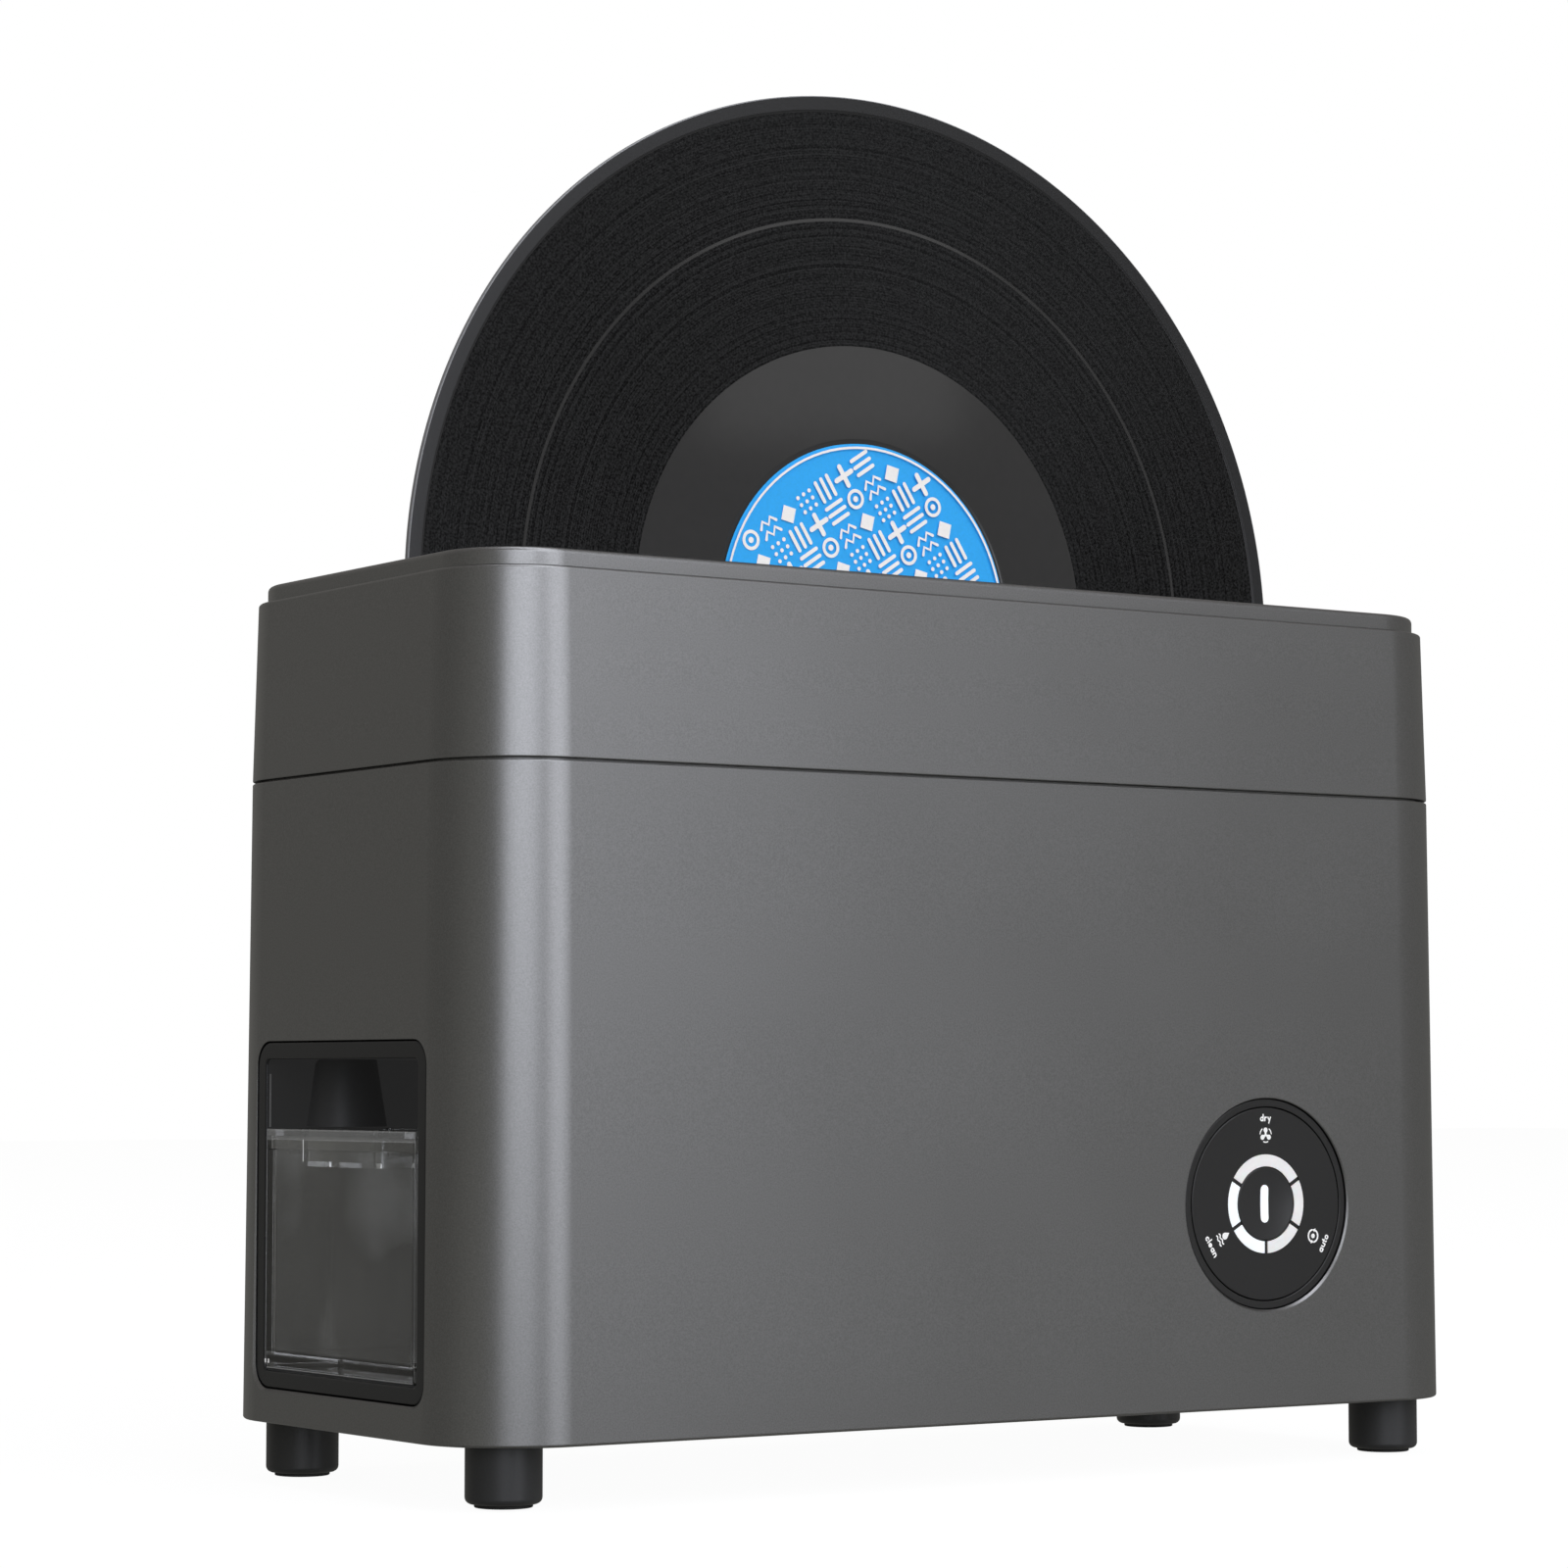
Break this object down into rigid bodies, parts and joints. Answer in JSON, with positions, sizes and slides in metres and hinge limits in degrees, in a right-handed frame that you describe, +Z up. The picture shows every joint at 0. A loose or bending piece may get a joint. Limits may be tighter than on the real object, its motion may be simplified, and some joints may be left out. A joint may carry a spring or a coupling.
{
  "type": "record cleaning machine",
  "caption": "Record cleaner: a rounded graphite housing on feet with a record standing in its top slot, a round push button panel and a clear water tank that slides out of its side.",
  "frame": {"origin": "centre of the footprint, at the level of the foot pads' undersides", "axes": "+Z up, -Y out of the front with the control panel, -X out of the side with the water tank"},
  "size_m": [0.3384, 0.1474, 0.3924],
  "materials": {
    "graphite_paint": "satin metallic",
    "black_plastic": "satin",
    "panel_black": "satin",
    "light_white": "translucent white",
    "clear_plastic": "clear",
    "filter_foam": "open foam",
    "rubber": "matt",
    "vinyl": "grooved",
    "label_paper": "printed paper",
    "bath_plastic": "satin",
    "gear_plastic": "moulded",
    "steel": "bright",
    "aluminium": "machined",
    "circuit_board": "solder mask",
    "silicone_hose": "translucent"
  },
  "bodies": {
    "chassis": {"lower_shell": "graphite_paint", "upper_shell": "graphite_paint", "top_cover": "graphite_paint", "slot_trim": "black_plastic", "base_plate": "black_plastic", "foot_front_left": "black_plastic", "foot_front_right": "black_plastic", "foot_back_left": "black_plastic", "foot_back_right": "black_plastic", "foot_pad_front_left": "rubber", "foot_pad_front_right": "rubber", "foot_pad_back_left": "rubber", "foot_pad_back_right": "rubber", "base_screw_front_left": "steel", "base_screw_front_right": "steel", "base_screw_back_left": "steel", "base_screw_back_right": "steel", "rear_vent": "black_plastic", "power_inlet": "black_plastic", "bath": "bath_plastic", "idler_axle": "steel", "motor_bracket": "steel", "drive_motor": "aluminium", "front_blower_housing": "black_plastic", "rear_blower_housing": "black_plastic", "front_air_duct": "black_plastic", "rear_air_duct": "black_plastic", "tank_bay": "black_plastic", "panel_ring": "black_plastic", "panel_disc": "panel_black", "light_guide": "light_white", "control_board": "circuit_board", "button_switch": "black_plastic", "transducer_left": "aluminium", "transducer_right": "aluminium", "driver_board": "circuit_board", "pump": "black_plastic", "drain_valve": "black_plastic", "supply_hose": "silicone_hose", "fill_hose": "silicone_hose", "drain_hose": "silicone_hose", "return_hose": "silicone_hose"},
    "record": {"record": "vinyl", "record_label_front": "label_paper", "record_label_back": "label_paper"},
    "drive_shaft": {"drive_roller": "rubber", "drive_axle": "steel", "drive_gear": "gear_plastic"},
    "idler": {"idler_roller": "rubber"},
    "motor_shaft": {"motor_pinion": "gear_plastic"},
    "front_fan": {"front_impeller": "gear_plastic"},
    "rear_fan": {"rear_impeller": "gear_plastic"},
    "button": {"start_button": "panel_black"},
    "water_tank": {"tank_body": "clear_plastic", "tank_lid": "clear_plastic", "tank_valve": "black_plastic", "tank_filter": "filter_foam"}
  },
  "joints": [
    {"name": "record_spin", "type": "hinge", "parent": "chassis", "child": "record", "pos_m": [0, -0.0025, 0.2416], "axis": [0, 1, 0], "continuous": true},
    {"name": "drive_shaft_spin", "type": "hinge", "parent": "chassis", "child": "drive_shaft", "pos_m": [0.13605, -0.0025, 0.16305], "axis": [0, 1, 0], "continuous": true},
    {"name": "idler_spin", "type": "hinge", "parent": "chassis", "child": "idler", "pos_m": [-0.13605, -0.0025, 0.16305], "axis": [0, 1, 0], "continuous": true},
    {"name": "motor_spin", "type": "hinge", "parent": "chassis", "child": "motor_shaft", "pos_m": [0.11805, -0.0025, 0.16305], "axis": [0, 1, 0], "continuous": true},
    {"name": "front_fan_spin", "type": "hinge", "parent": "chassis", "child": "front_fan", "pos_m": [-0.10005, -0.0025, 0.15605], "axis": [0, 1, 0], "continuous": true},
    {"name": "rear_fan_spin", "type": "hinge", "parent": "chassis", "child": "rear_fan", "pos_m": [-0.10005, -0.0025, 0.15605], "axis": [0, 1, 0], "continuous": true},
    {"name": "start_button_press", "type": "slide", "parent": "chassis", "child": "button", "axis": [0, 1, 0], "range_m": [0, 0.0012], "stiffness_N_per_m": 300},
    {"name": "tank_slide", "type": "slide", "parent": "chassis", "child": "water_tank", "axis": [-1, 0, 0], "range_m": [0, 0.062]}
  ],
  "couplings": [
    {"joint": "drive_shaft_spin", "follows": "record_spin", "ratio": -23.937},
    {"joint": "idler_spin", "follows": "record_spin", "ratio": -23.937},
    {"joint": "motor_spin", "follows": "record_spin", "ratio": 47.873}
  ]
}
